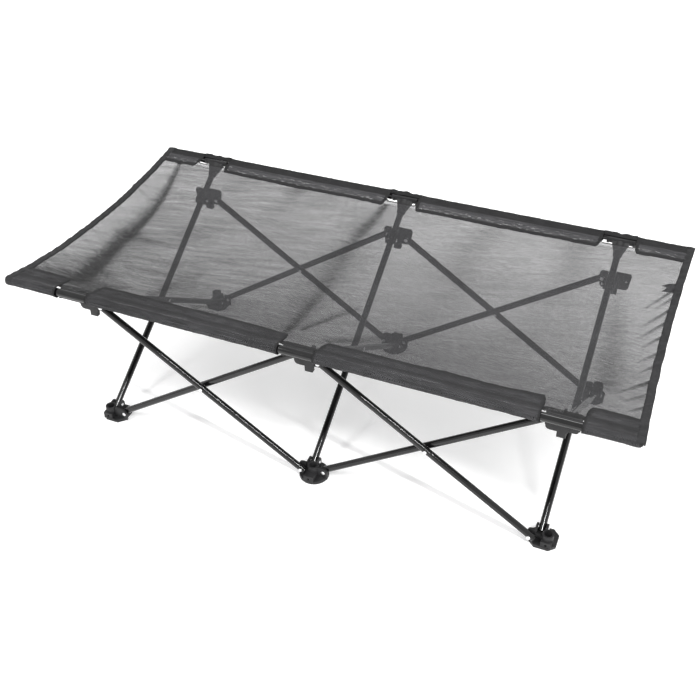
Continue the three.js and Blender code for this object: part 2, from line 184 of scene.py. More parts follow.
def plastic_material():
    material, tree, shader = new_material("satin_black_plastic")
    where = coords(tree)
    grain = noise_node(tree, where, scale=1400, detail=2, roughness=0.6)
    cloud = noise_node(tree, where, scale=45, detail=4)
    scratches = noise_node(tree, coords(tree, scale=(1, 0.25, 1)), scale=420, detail=4, roughness=0.7)
    scrape = remap(tree, scratches, (0.66, 0.8), (0, 0.5))
    tone = math_node(tree, "ADD", remap(tree, cloud, (0.35, 0.7), (0, 0.4)), scrape)
    link(tree, blend_colour(tree, tone, grey(0.010), grey(0.042)), shader.inputs["Base Color"])
    shader.inputs["Specular IOR Level"].default_value = 0.3
    link(tree, remap(tree, cloud, (0.3, 0.7), (0.42, 0.58)), shader.inputs["Roughness"])
    bump(tree, shader, grain, strength=0.35, distance=0.0004)
    return material


def steel_material():
    material, tree, shader = new_material("bright_rivet_steel")
    where = coords(tree)
    grain = noise_node(tree, where, scale=900, detail=3, roughness=0.6)
    colour = blend_colour(tree, grain, (0.86, 0.86, 0.87), (0.62, 0.62, 0.63))
    link(tree, colour, shader.inputs["Base Color"])
    link(tree, remap(tree, grain, (0.3, 0.7), (0.22, 0.4)), shader.inputs["Roughness"])
    shader.inputs["Metallic"].default_value = 0.85
    bump(tree, shader, grain, strength=0.2, distance=0.0002)
    return material


WEAVE_SQUASH = 0.62                                  # the holes are closer across the cot than along it


def weave(tree, pitch):
    """A staggered net of holes: 1 in the middle of a hole, 0 or less between holes."""
    where = coords(tree)
    parts = tree.nodes.new("ShaderNodeSeparateXYZ")
    link(tree, where, parts.inputs[0])
    waves = []
    for axis, step in (("X", pitch), ("Y", pitch * WEAVE_SQUASH)):
        turns = math_node(tree, "MULTIPLY", parts.outputs[axis], math.pi / step)
        waves.append(math_node(tree, "COSINE", turns))
    return math_node(tree, "MULTIPLY", waves[0], waves[1])


def attribute(tree, name):
    node = tree.nodes.new("ShaderNodeAttribute")
    node.attribute_name = name
    return node.outputs["Fac"]


MIX_A, MIX_B, MIX_RESULT = 6, 7, 2                   # a Mix node's colour sockets


def cloth_colour(tree, base, light, density_and_shade, slub):
    """Streaky dark grey, darkened to nearly black as painted shade where the net is doubled, folded or
    creased.
    """
    cloud = noise_node(tree, coords(tree), scale=7, detail=3)
    streaks = remap(tree, slub, (0.3, 0.7), (0, 0.5))
    tone = math_node(tree, "ADD", streaks, remap(tree, cloud, (0.3, 0.7), (0, 0.4)))
    thin = blend_colour(tree, tone, grey(base), grey(base + light, 1.05))
    # painted shade: the net's colour where it is doubled or creased
    shaded_thick_colour = blend_colour(tree, tone, grey(base * 0.20), grey(base * 0.50))
    mixed = tree.nodes.new("ShaderNodeMix")
    mixed.data_type = "RGBA"
    link(tree, remap(tree, density_and_shade, (0.1, 1.0), (0, 1)), mixed.inputs["Factor"])
    link(tree, thin, mixed.inputs[MIX_A])
    link(tree, shaded_thick_colour, mixed.inputs[MIX_B])
    return mixed.outputs[MIX_RESULT]


def layer_bands(tree):
    """Wavy bands along the cot, above and below 0, as two layers of net make together."""
    bands = tree.nodes.new("ShaderNodeTexWave")
    bands.bands_direction = "Y"
    bands.inputs["Scale"].default_value = 30
    bands.inputs["Distortion"].default_value = 7
    bands.inputs["Detail Scale"].default_value = 1.2
    where = coords(tree, scale=(0.6, 1, 1), rotation=(0, 0, 0.10))
    link(tree, where, bands.inputs["Vector"])
    return math_node(tree, "SUBTRACT", bands.outputs["Fac"], 0.5)


def cloth_material(name, base, light, pitch, cover):
    """Net cloth: its grey, how much lighter the streaks are, the net's pitch, and how closed it is where
    it is single and where it is thickest. Each point's density value says where the net is doubled,
    stretched shut or folded, and also carries painted shade in creases and beside gathers, which darkens
    the colour; their "hatch" says where two layers make bands."""
    material, tree, shader = new_material(name)
    net = weave(tree, pitch)
    density_and_shade = attribute(tree, "density_and_shade")
    slub_place = coords(tree, scale=(4, 30, 1), rotation=(0, 0, -0.22))
    slub = noise_node(tree, slub_place, scale=9, detail=5, roughness=0.8)
    link(tree, cloth_colour(tree, base, light, density_and_shade, slub), shader.inputs["Base Color"])
    cover_single, cover_dense = cover
    level = remap(tree, density_and_shade, (-1, 1), (2 * cover_single - cover_dense, cover_dense))
    fine_place = coords(tree, scale=(60, 300, 1), rotation=(0, 0, -0.35))
    fine = noise_node(tree, fine_place, scale=2.2, detail=2, roughness=0.6)
    coarse = math_node(tree, "ADD", level, remap(tree, slub, (0.3, 0.7), (-0.08, 0.08)))
    covered = math_node(tree, "ADD", coarse, remap(tree, fine, (0.3, 0.7), (-0.07, 0.07)))
    banded = math_node(tree, "MULTIPLY", attribute(tree, "hatch"), layer_bands(tree))
    spread = math_node(tree, "SUBTRACT", math_node(tree, "ADD", 1.0, banded), covered)
    opening = remap(tree, net, (0.05, 0.6), (0, 2.2))
    alpha = math_node(tree, "SUBTRACT", 1.0, math_node(tree, "MULTIPLY", spread, opening))
    clamp = tree.nodes.new("ShaderNodeClamp")
    link(tree, alpha, clamp.inputs[0])
    link(tree, clamp.outputs[0], shader.inputs["Alpha"])
    shader.inputs["Roughness"].default_value = 0.75
    shader.inputs["Specular IOR Level"].default_value = 0.25
    bump(tree, shader, net, strength=0.4, distance=0.0006)
    return material


def tape_material():
    material, tree, shader = new_material("woven_edge_tape")
    where = coords(tree)
    wave = tree.nodes.new("ShaderNodeTexWave")
    wave.inputs["Scale"].default_value = 260
    wave.inputs["Distortion"].default_value = 0.6
    wave.bands_direction = "Y"
    link(tree, where, wave.inputs["Vector"])
    cloud = noise_node(tree, where, scale=60, detail=4)
    ribs = wave.outputs["Fac"]
    stains = remap(tree, cloud, (0.3, 0.7), (0, 0.5))
    tone = math_node(tree, "ADD", remap(tree, ribs, (0, 1), (0, 0.4)), stains)
    link(tree, blend_colour(tree, tone, grey(0.008), grey(0.030)), shader.inputs["Base Color"])
    shader.inputs["Roughness"].default_value = 0.7
    shader.inputs["Specular IOR Level"].default_value = 0.25
    bump(tree, shader, ribs, strength=0.4, distance=0.0005)
    return material


def thread_material():
    material, tree, shader = new_material("sewing_thread")
    twist = noise_node(tree, coords(tree), scale=1800, detail=2)
    link(tree, blend_colour(tree, twist, grey(0.01), grey(0.04)), shader.inputs["Base Color"])
    shader.inputs["Roughness"].default_value = 0.6
    bump(tree, shader, twist, strength=0.3, distance=0.0002)
    return material


PAINT = paint_material()
PLASTIC = plastic_material()
STEEL = steel_material()
NET = cloth_material("sheer_net", base=0.024, light=0.028, pitch=0.0018, cover=(0.680, 0.99))
STRIP = cloth_material("doubled_net", base=0.030, light=0.040, pitch=0.0022, cover=(0.50, 1.0))
TAPE_CLOTH = tape_material()
THREAD = thread_material()


# ---- carried-over CAD nodes: better finish, rounded edges ----
SHARP_ANGLE = math.radians(35)
WELD_GAP = 1e-5
STEEL_EDGE, PLASTIC_EDGE = 0.0003, 0.0007


def finish_node(name, material, radius=0.0):
    obj = nodes[name]
    obj.data.materials.clear()
    obj.data.materials.append(material)
    weld = obj.modifiers.new("weld", "WELD")
    weld.merge_threshold = WELD_GAP
    if radius:
        edge = obj.modifiers.new("edge", "BEVEL")
        edge.width = radius
        edge.segments = 2
        edge.limit_method = "ANGLE"
        edge.angle_limit = SHARP_ANGLE
    obj.data.shade_smooth()
    split = obj.modifiers.new("split", "EDGE_SPLIT")
    split.split_angle = SHARP_ANGLE


for name in nodes:
    if name.startswith(("cross_tube", "side_tube", "rail_near", "rail_far")):
        finish_node(name, PAINT)
    elif name.startswith(("foot_pin", "cross_rivet", "side_rivet")):
        finish_node(name, STEEL, STEEL_EDGE)
    elif name.startswith(("foot", "hub", "saddle", "rail_cap")):
        finish_node(name, PLASTIC, PLASTIC_EDGE)


# ---- mesh building ----
def mesh_object(name, points, faces, material, smooth=True):
    mesh = bpy.data.meshes.new(name)
    mesh.from_pydata([tuple(p) for p in points], [], faces)
    mesh.materials.append(material)
    mesh.update()
    if smooth:
        mesh.shade_smooth()
    obj = bpy.data.objects.new(name, mesh)
    bpy.context.collection.objects.link(obj)
    return obj


def grid_faces(rows, columns, keep=None, start=0):
    """Faces of a grid of points whose first has the number start; keep says which cells are there."""
    faces = []
    for i in range(rows - 1):
        for j in range(columns - 1):
            if keep is None or keep[i, j]:
                a = start + i * columns + j
                faces.append((a, a + 1, a + columns + 1, a + columns))
    return faces


def set_look(obj, density_and_shade, hatch=0.0):
    """What the cloth material reads at each point, see cloth_material."""
    count = len(obj.data.vertices)
    for name, values in (("density_and_shade", density_and_shade), ("hatch", hatch)):
        layer = obj.data.attributes.new(name, "FLOAT", "POINT")
        spread = np.broadcast_to(np.asarray(values, np.float32), (count,))
        layer.data.foreach_set("value", spread.copy())


def solidify(obj, thickness):
    modifier = obj.modifiers.new("thickness", "SOLIDIFY")
    modifier.thickness = thickness
    modifier.offset = 0


# ---- the cloth's shape ----
GRID = 0.003                                         # the cloth's mesh, from point to point
SAG_MID = 0.035
SAG_END = 0.021
SAG_EVEN = 0.25                                      # the sag gets less from here to the ends
SAG_LEAN = 0.12                                      # it is this much deeper on the near side
LIFT = RAIL_R + 0.0012                               # the cloth's middle above the rails' axis
FREE_WIDTH = 0.09                                    # folds die out over this width beside the rails
END_PULL = 0.006                                     # the ends are drawn in by this much, halfway across
LOOK_LIMIT = 0.9                                     # the net never reads more open than this
NOTCH_HALF = 0.034
NOTCH_DEPTH = {"near": 0.0105, "far": 0.034}        # near, the cloth sags out over the saddles
NOTCH_CORNER = 0.008
HEM = {"near": 0.011, "far": 0.004}                  # turned edge round the openings
HEM_LOOK, HEM_RISE = 0.95, 0.0005
NOTCH_DROOP = 0.0035                                 # the near openings' edges hang down beside the rail
DROOP_FADE = 0.006
TONE_CURVE = 1.35                                    # folds darken the net less and less as they pile up
OPEN_UNDER_STRIP = -0.85                             # the strip's own look hides the panel's there
EDGE = 0.0090                                        # the panel's own edge, inboard of the rail axis
CORNER_CUT = 0.007                                   # how far the strips' inner corners are rounded back
SADDLE_STEP = {"near": 0.0075, "far": -0.0075}       # the saddles stand off the station centre


def notch_centres(side):
    return [x + SADDLE_STEP[side] for x in STATIONS.values()]


def smooth_step(t):
    t = np.clip(t, 0, 1)
    return t * t * (3 - 2 * t)


def fractal(x, y, fx, fy, seed):
    """Smooth noise with its own grain along x and y."""
    flat = [noise.noise(Vector((a * fx, b * fy, seed))) for a, b in zip(np.ravel(x), np.ravel(y))]
    return np.array(flat).reshape(np.shape(x))


def crease(x, y, points):
    """Distance from each place to a bent line, and how far along it the nearest point lies, 0 to 1."""
    best = np.full(np.shape(x), np.inf)
    along = np.zeros(np.shape(x))
    count = len(points) - 1
    for k, ((x0, y0), (x1, y1)) in enumerate(zip(points[:-1], points[1:])):
        dx, dy = x1 - x0, y1 - y0
        t = np.clip(((x - x0) * dx + (y - y0) * dy) / (dx * dx + dy * dy), 0, 1)
        distance = np.hypot(x - x0 - t * dx, y - y0 - t * dy)
        along = np.where(distance < best, (k + t) / count, along)
        best = np.minimum(best, distance)
    return best, along


# Folds in the cloth: places on the line, width at both ends, depth, and how much darker it reads at both
# ends. The darkening is partly denser net and partly painted shade in the crease.
FOLDS = [
    ([(-0.558, 0.255), (-0.540, 0.180), (-0.522, 0.090), (-0.513, 0.000), (-0.512, -0.080),
      (-0.500, -0.160), (-0.492, -0.245)], (0.005, 0.018), 0.005, (0.9, 2.0)),
    ([(-0.550, 0.150), (-0.522, -0.030), (-0.505, -0.235)], (0.025, 0.045), 0.006, (0.10, 0.40)),
    ([(-0.525, -0.040), (-0.451, -0.050), (-0.386, -0.040)], (0.018, 0.007), 0.002, (0.75, 0.15)),
    ([(-0.600, -0.248), (-0.520, -0.232), (-0.460, -0.240), (-0.400, -0.250)],
     (0.010, 0.013), 0.003, (0.55, 0.75)),
    ([(-0.500, -0.190), (-0.440, -0.215), (-0.387, -0.232)], (0.020, 0.008), 0.002, (0.5, 0.2)),
    ([(-0.560, -0.268), (-0.500, -0.262), (-0.430, -0.272)], (0.016, 0.018), 0.001, (1.2, 0.9)),
    ([(-0.038, 0.255), (-0.052, 0.170), (-0.062, 0.100), (-0.058, 0.020)],
     (0.008, 0.020), 0.003, (0.95, 0.20)),
    ([(-0.056, 0.000), (-0.048, -0.080), (-0.047, -0.160), (-0.042, -0.245)],
     (0.016, 0.007), 0.003, (0.20, 0.85)),
    ([(-0.055, 0.200), (-0.060, 0.000), (-0.048, -0.240)], (0.045, 0.035), 0.004, (0.22, 0.22)),
    ([(0.040, -0.105), (0.012, -0.156), (-0.018, -0.220)], (0.010, 0.005), 0.002, (0.25, 0.80)),
    ([(0.170, -0.150), (0.110, -0.200), (0.045, -0.242)], (0.020, 0.010), 0.002, (0.20, 0.60)),
    ([(0.498, 0.110), (0.510, 0.010), (0.528, -0.170)], (0.018, 0.024), 0.002, (0.15, 0.45)),
    ([(0.385, 0.250), (0.395, 0.150), (0.380, 0.060)], (0.035, 0.030), 0.002, (0.28, 0.10)),
    ([(-0.250, 0.240), (-0.262, 0.100)], (0.022, 0.026), 0.002, (0.30, 0.05)),
    ([(0.200, 0.230), (0.180, 0.130), (0.190, 0.010)], (0.030, 0.035), 0.002, (0.20, 0.05)),
    ([(-0.330, -0.235), (-0.300, -0.100)], (0.012, 0.020), 0.002, (0.45, 0.10)),
    ([(-0.230, -0.245), (-0.180, -0.150)], (0.010, 0.018), 0.002, (0.35, 0.05)),
]
# Gathers that run in from the right end's tape: where they start, how far in they reach.
GATHERS = [(0.162, 0.050), (0.132, 0.030), (0.089, 0.045), (0.048, 0.045), (0.002, 0.035),
           (-0.050, 0.030), (-0.091, 0.030), (-0.138, 0.052), (-0.176, 0.036), (-0.215, 0.030)]
GATHER_LIFT, GATHER_WIDTH = 0.0030, 0.0040
GATHER_SHADE = 27                                     # strength of the painted shade line, for each metre of the gather's length
SHADE_SIDE, SHADE_WIDTH = 0.002, 0.0028              # the painted shade line beside each gather's crest
# painted highlight: a lighter line on the other side of each gather's crest
GLINT, GLINT_SIDE, GLINT_WIDTH = 0.12, 0.005, 0.0045
RIPPLE_LENGTH, RIPPLE_LIFT, RIPPLE_DARK = 0.05, 0.0016, 0.30
STREAK_TURN = 0.23                                   # fine streaks run a little across the length
STREAK_DARK, STREAK_LIFT, BLOTCH_DARK = 0.26, 0.0006, 0.10
NEAR_DARK, LEFT_DARK = 0.24, 0.16                    # the net reads darker to the near side and the left
BRIGHT = -0.30                                       # the part beyond the left fold is pulled open


def folds(x, y):
    """How far the folds take the cloth down, and how much darker they make it, partly as denser net and
    partly as painted shade in the creases.
    """
    drop = np.zeros(np.shape(x))
    dark = np.zeros(np.shape(x))
    for points, widths, depth, tones in FOLDS:
        distance, along = crease(x, y, points)
        near = np.exp(-(distance / (widths[0] + (widths[1] - widths[0]) * along)) ** 2)
        drop += depth * near
        dark += (tones[0] + (tones[1] - tones[0]) * along) * near
    return drop, dark


def gathers(x, y):
    """Small puckers that run in from the right end's tape, and finer ones on the left; beside each
    pucker's crest a line of painted shade on one side and of painted highlight on the other.
    """
    lift = np.zeros(np.shape(x))
    dark = np.zeros(np.shape(x))
    inward = END_X - TAPE - x
    for start, length in GATHERS:
        slant = 0.9 + 0.9 * (start + 0.2) / 0.4
        along = np.clip(1 - inward / length, 0, 1) * (x > 0)
        off = (y - start + slant * inward) / math.hypot(1, slant)
        lift += GATHER_LIFT * np.exp(-(off / GATHER_WIDTH) ** 2) * along
        dark += GATHER_SHADE * length * np.exp(-((off + SHADE_SIDE) / SHADE_WIDTH) ** 2) * along
        # painted highlight beside the crest
        dark -= GLINT * np.exp(-((off - GLINT_SIDE) / GLINT_WIDTH) ** 2) * along
    inward = x + END_X - TAPE
    fine = np.clip(1 - inward / RIPPLE_LENGTH, 0, 1) * (x < 0)
    ripple = fractal(x * 0 + 1, y + 0.5 * x, 1, 55, 4.0)
    lift += RIPPLE_LIFT * fine * ripple
    dark += RIPPLE_DARK * fine * np.clip(ripple * 2 - 0.2, -0.3, 1)
    return lift, dark


def cloth_height(x, y):
    """The middle of the cloth's thickness, and how closed and shaded the net looks there: the folds and
    gathers add painted shade, and lighter lines of painted highlight beside the gathers.
    """
    x, y = np.asarray(x, float), np.asarray(y, float)
    across = 1 - np.clip(np.abs(y) / RAIL_Y, 0, 1) ** 2
    along = 1 - smooth_step((np.abs(x) - SAG_EVEN) / (END_X - SAG_EVEN))
    sag = (SAG_END + (SAG_MID - SAG_END) * along) * across * (1 - SAG_LEAN * y / RAIL_Y)
    free = smooth_step((RAIL_Y - np.abs(y)) / FREE_WIDTH)
    drop, dark = folds(x, y)
    pucker, pucker_dark = gathers(x, y)
    turned = y - STREAK_TURN * x
    soft = 0.0022 * fractal(x, y, 9, 5, 1.0) + 0.0010 * fractal(x, turned, 14, 42, 2.0)
    streak = fractal(x, turned, 9, 85, 6.0) + 0.6 * fractal(x, turned, 16, 190, 8.0)
    streaky = 0.35 + 0.65 * smooth_step((0.1 - x) / 0.4)
    dark += STREAK_DARK * streaky * streak + BLOTCH_DARK * fractal(x, y, 8, 7, 9.0)
    beyond = smooth_step((-0.53 - 0.02 * y / RAIL_Y - x) / 0.02) * smooth_step((y + 0.20) / 0.06)
    dark += BRIGHT * beyond
    dark += NEAR_DARK * smooth_step((0.12 - y) / 0.34) + LEFT_DARK * smooth_step((0.0 - x) / 0.4)
    height = RAIL_Z + LIFT - sag - free * (drop - soft - pucker - STREAK_LIFT * streak * streaky)
    return height, dark + pucker_dark


def notch_field(x, y):
    """Distance outside the nearest saddle opening's edge, negative inside it."""
    best = np.full(np.shape(x), 1.0)
    for side, sign in SIDES.items():
        inset = RAIL_Y - sign * y
        for middle in notch_centres(side):
            a = np.abs(x - middle) - (NOTCH_HALF - NOTCH_CORNER)
            b = inset - (NOTCH_DEPTH[side] - NOTCH_CORNER)
            outside = np.hypot(np.maximum(a, 0), np.maximum(b, 0))
            inside = np.minimum(np.maximum(a, b), 0)
            best = np.minimum(best, outside + inside - NOTCH_CORNER)
    return best


# ---- panel ----
def spaced(half, step, marks):
    """Even steps from -half to half, with an extra line at each mark."""
    even = np.linspace(-half, half, int(round(2 * half / step)) + 1)
    return np.unique(np.round(np.concatenate([even, marks]), 5))


def make_panel():
    half_x = END_X - TAPE * 0.5
    half_y = RAIL_Y - EDGE
    cuts = [m + k * NOTCH_HALF for side in SIDES for m in notch_centres(side) for k in (-1, 1)]
    xs = spaced(half_x, GRID, cuts)
    ys = spaced(half_y, GRID, [SIDES[side] * (RAIL_Y - NOTCH_DEPTH[side]) for side in SIDES])
    x, y = np.meshgrid(xs, ys, indexing="ij")
    away = notch_field(x, y)
    pull = END_PULL * (np.abs(x) / half_x) ** 8 * (1 - (y / half_y) ** 2)
    z, dark = cloth_height(x, y)
    hem = 1.0 * (away < np.where(y < 0, HEM["near"], HEM["far"]))
    # the darkening from folds and gathers becomes the density value, which closes the net and also
    # darkens its colour as painted shade
    look = np.where(dark > 0, 1 - np.exp(-TONE_CURVE * dark), dark)
    look = np.where(y > RAIL_Y - FLAP + STRIP_HEM, OPEN_UNDER_STRIP, look)
    look = np.where(hem > 0, HEM_LOOK, np.clip(look, -LOOK_LIMIT, 1))
    droop = NOTCH_DROOP * np.exp(-np.maximum(away, 0) / DROOP_FADE) * (y < 0)
    points = np.stack([x - np.sign(x) * pull, y, z + HEM_RISE * hem - droop], -1).reshape(-1, 3)
    middles = notch_field((x[:-1, :-1] + x[1:, 1:]) / 2, (y[:-1, :-1] + y[1:, 1:]) / 2)
    panel = mesh_object("mesh_cloth", points, grid_faces(len(xs), len(ys), middles > 0), NET)
    set_look(panel, look.ravel())
    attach(panel, "cover")
    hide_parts("mesh_panel")


# ---- sleeves: the cloth's edge turned over the rail and stitched back on the panel ----
CLOTH = 0.0005                                       # the sleeve cloth's thickness
POCKET_R = RAIL_R + 0.0014
SEAM = 0.019                                         # where the pocket meets the panel
SEAM_TURN = (62, 325)                                # degrees round the rail that the pocket covers
STRIP_HEM = 0.009
BRIDGE_TURN = (45, 155)                              # degrees round the rail that the far hems cover
BRIDGE_BUNCH = 0.0045
SEAM_ROWS, POCKET_ROWS, BRIDGE_ROWS, BRIDGE_STEPS = 20, 34, 12, 28
POCKET_DENSE = {"near": 0.62, "far": 0.98}
POCKET_STREAK = {"near": 1.6, "far": 0.3}
STRIP_RISE = {"near": 0.4, "far": 1.0}               # how much of the wrinkles' height each strip has
STRIP_BANDS = {"near": 0.4, "far": 2.4}
CUT_REACH = 0.03                                     # the rounding back fades over this length
CUT_EDGE = 0.004                                     # turned edge beside each opening
STRIP_LIFT = 0.0009
SEEDS = {"near": 11.0, "far": 17.0}
SLEEVE_END = {-1: END_X + 0.005, 1: END_X - 0.003}   # where the pockets stop, left and right
STRIP_SHORT = 0.003                                  # the strips stop this far inside the tape's edge
END_ROUND = 0.010                                    # the pocket narrows over the cap in this length
END_NARROW = 0.55


def sleeve_profile():
    """Places once across the turned-over cloth: inboard distances on top, then angles round the rail."""
    strip = [("top", t) for t in np.linspace(FLAP, SEAM, SEAM_ROWS)]
    return strip + [("arc", a) for a in np.radians(np.linspace(*SEAM_TURN, POCKET_ROWS))]


def segment_spans(side):
    """The four stretches of sleeve between the openings at the saddles."""
    edges = [-SLEEVE_END[-1]]
    for middle in notch_centres(side):
        edges += [middle - NOTCH_HALF, middle + NOTCH_HALF]
    edges.append(SLEEVE_END[1])
    return list(zip(edges[0::2], edges[1::2]))


def wrinkle(x, inset, seed):
    """The height of the strips' wrinkles, broad ones and fine ones."""
    broad = noise.noise(Vector((x * 55, inset * 60, seed + 1))) * 0.0022
    return broad + noise.noise(Vector((x * 160, inset * 160, seed + 3))) * 0.0010


def arc_place(side, x, angle, edge, seed):
    """A point on the pocket, and how dense the cloth looks there."""
    flare = 0.0012 * math.exp(-edge / 0.012)
    wobble = noise.noise(Vector((x * 38, angle * 1.5, seed))) * 0.0007
    wobble += noise.noise(Vector((x * 120, angle * 3, seed + 2))) * 0.0004
    r = POCKET_R + max(0.0, flare + wobble + 0.0003)
    to_end = max(0.0, SLEEVE_END[1 if x > 0 else -1] - abs(x))
    if to_end < END_ROUND:
        r *= END_NARROW + (1 - END_NARROW) * math.sqrt(1 - (1 - to_end / END_ROUND) ** 2)
    streak = noise.noise(Vector((x * 14, angle * 9, seed + 5)))
    mottle = noise.noise(Vector((x * 30, angle * 2, seed + 5)))
    density_and_shade = POCKET_DENSE[side] + 0.20 * mottle - POCKET_STREAK[side] * max(0.0, streak - 0.08)
    y = SIDES[side] * (RAIL_Y - r * math.cos(angle))
    return (x, y, RAIL_Z + r * math.sin(angle)), density_and_shade, 0.0


def strip_place(side, x, inset, edge, seed):
    """A point on the strip turned back over the panel, how dense it looks, and its banding."""
    wave = 0.09 * noise.noise(Vector((x * 13, 0, seed + 4)))
    wave += 0.05 * noise.noise(Vector((x * 70, 0, seed + 6)))
    y = SIDES[side] * (RAIL_Y - SEAM - (inset - SEAM) * (1 + wave))
    height, _ = cloth_height(x, y)
    from_seam = smooth_step((inset - SEAM) / 0.004)
    inside = float(from_seam * smooth_step((FLAP - STRIP_HEM - inset) / 0.003))
    window = inside * float(smooth_step((edge - 0.006) / 0.004))
    raised = STRIP_LIFT + max(0.0, wrinkle(x, inset, seed)) * STRIP_RISE[side] * inside
    ripple = noise.noise(Vector((x * 40, inset * 90, seed + 7)))
    # painted highlight: a wavy line of lighter, more open net along the far strip's window
    glint_line = SEAM + 0.006 + 0.005 * noise.noise(Vector((x * 45, 0, seed + 9)))
    glint = math.exp(-((inset - glint_line) / 0.0022) ** 2)
    if side == "far":
        density_and_shade = 1.0 - window * (1.05 + 0.7 * ripple + 1.1 * glint)
    else:
        density_and_shade = 0.90 - window * (0.35 + 0.35 * ripple)
    x = float(np.clip(x, STRIP_SHORT - END_X, END_X - STRIP_SHORT))
    return (x, y, float(height) + raised), density_and_shade, window * STRIP_BANDS[side]


def round_back(kind, inset, x, x0, x1):
    """How far a place on the strip slides back from the saddle beside it."""
    if kind == "arc":
        return 0.0
    reach = -CORNER_CUT * ((inset - SEAM) / (FLAP - SEAM)) ** 3
    before = reach * max(0.0, 1 - (x - x0) / CUT_REACH) if x0 > TAPE - END_X else 0.0
    after = reach * max(0.0, 1 - (x1 - x) / CUT_REACH) if x1 < END_X - TAPE else 0.0
    return after - before


def add_bridges(spans, seed, points, faces, density_and_shade, hatch):
    """Bunched hems that carry on along the far rail's top over the openings."""
    turns = np.radians(np.linspace(*BRIDGE_TURN, BRIDGE_ROWS))
    for (_, x0), (x1, _) in zip(spans[:-1], spans[1:]):
        start = len(points)
        for x in np.linspace(x0, x1, BRIDGE_STEPS):
            for turn in turns:
                rise = BRIDGE_BUNCH * max(0.0, 0.35 + noise.noise(Vector((x * 70, turn * 2, seed))))
                r = POCKET_R + 0.0004 + rise * math.sin(turn) ** 2
                points.append((x, RAIL_Y - r * math.cos(turn), RAIL_Z + r * math.sin(turn)))
                density_and_shade.append(1.0)
                hatch.append(0.0)
        faces += grid_faces(BRIDGE_STEPS, len(turns), start=start)


def make_sleeve(side):
    profile = sleeve_profile()
    points, faces, density_and_shade, hatch = [], [], [], []
    seed = SEEDS[side]
    spans = segment_spans(side)
    for x0, x1 in spans:
        count = int((x1 - x0) / GRID)
        start = len(points)
        for x in np.linspace(x0, x1, count):
            edge = min(x - x0, x1 - x)
            for kind, value in profile:
                place = arc_place if kind == "arc" else strip_place
                moved = x + round_back(kind, value, x, x0, x1)
                point, look, bands = place(side, moved, value, edge, seed)
                points.append(point)
                density_and_shade.append(1.0 if edge < CUT_EDGE else look)
                hatch.append(bands)
        faces += grid_faces(count, len(profile), start=start)
    if side == "far":
        add_bridges(spans, seed, points, faces, density_and_shade, hatch)
    sleeve = mesh_object(f"sleeve_cloth_{side}", points, faces, STRIP)
    set_look(sleeve, np.clip(density_and_shade, -LOOK_LIMIT, 1), hatch)
    solidify(sleeve, CLOTH)
    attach(sleeve, "cover")
    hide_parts(f"sleeve_{side}")


# ---- rivets that the frame's node limit leaves to this model ----
PIN_R, HEAD_R, HEAD_H = 0.0020, 0.0042, 0.0018
DOME_SPAN = math.pi / 2 * 0.94                       # the dome stops short of its top, closed by a flat
RIVET_SIDES, DOME_RINGS = 20, 6
RIVET_SHARP = math.radians(40)


def rivet_points(start, axis, length):
    """A rivet with a domed head at each end, round an axis."""
    across = Vector((0, 0, 1)).cross(axis).normalized()
    up = axis.cross(across)
    rings = np.linspace(0, DOME_SPAN, DOME_RINGS)
    dome = [(HEAD_R * math.cos(t), HEAD_H * math.sin(t)) for t in rings]
    profile = [(r, -h) for r, h in reversed(dome)] + [(PIN_R, 0), (PIN_R, length)]
    profile += [(r, length + h) for r, h in dome]
    points = []
    for r, h in profile:
        for k in range(RIVET_SIDES):
            turn = 2 * math.pi * k / RIVET_SIDES
            points.append(start + axis * h + (across * math.cos(turn) + up * math.sin(turn)) * r)
    faces = []
    for i in range(len(profile) - 1):
        low, high = i * RIVET_SIDES, (i + 1) * RIVET_SIDES
        for k in range(RIVET_SIDES):
            n = (k + 1) % RIVET_SIDES
            faces.append((low + k, low + n, high + n, high + k))
    faces.append(tuple(reversed(range(RIVET_SIDES))))
    faces.append(tuple(range(len(points) - RIVET_SIDES, len(points))))
    return points, faces


def joined_rivets(name, rivets, body):
    points, faces = [], []
    for start, axis, length in rivets:
        more, sides = rivet_points(start, axis, length)
        faces += [tuple(i + len(points) for i in face) for face in sides]
        points += more
    obj = mesh_object(name, points, faces, STEEL)
    split = obj.modifiers.new("split", "EDGE_SPLIT")
    split.split_angle = RIVET_SHARP
    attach(obj, body)


EAR_REACH = 0.023                                    # side pivots, sideways from a station's centre
EAR_FACE = {"outer": 0.0173, "inner": 0.0267}        # the ear's far face, outboard of the cross pivots
HUB_CHEEK = 0.0117                                   # half the hub's width at its own rivet
PIVOT_Y = abs(centre("foot_pin_near_mid").y)
PIVOT_LOW = centre("foot_pin_near_mid").z
PIVOT_HIGH = 2 * centre("cross_rivet_mid").z - PIVOT_LOW
# Which way each layer of side tube leaves a foot or a hub, counted as it is on the near side.
REACH = {"foot": {"outer": -1, "inner": 1}, "hub": {"outer": 1, "inner": -1}}


def side_rivet(side, layer, x, height):
    """The rivet through a side tube and the ear beside it."""
    low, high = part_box(f"side_tube_{side}_left_{layer}")
    faces = [abs(low.y), abs(high.y), PIVOT_Y + EAR_FACE[layer]]
    start = Vector((x, SIDES[side] * min(faces), height))
    return start, Vector((0, SIDES[side], 0)), max(faces) - min(faces)


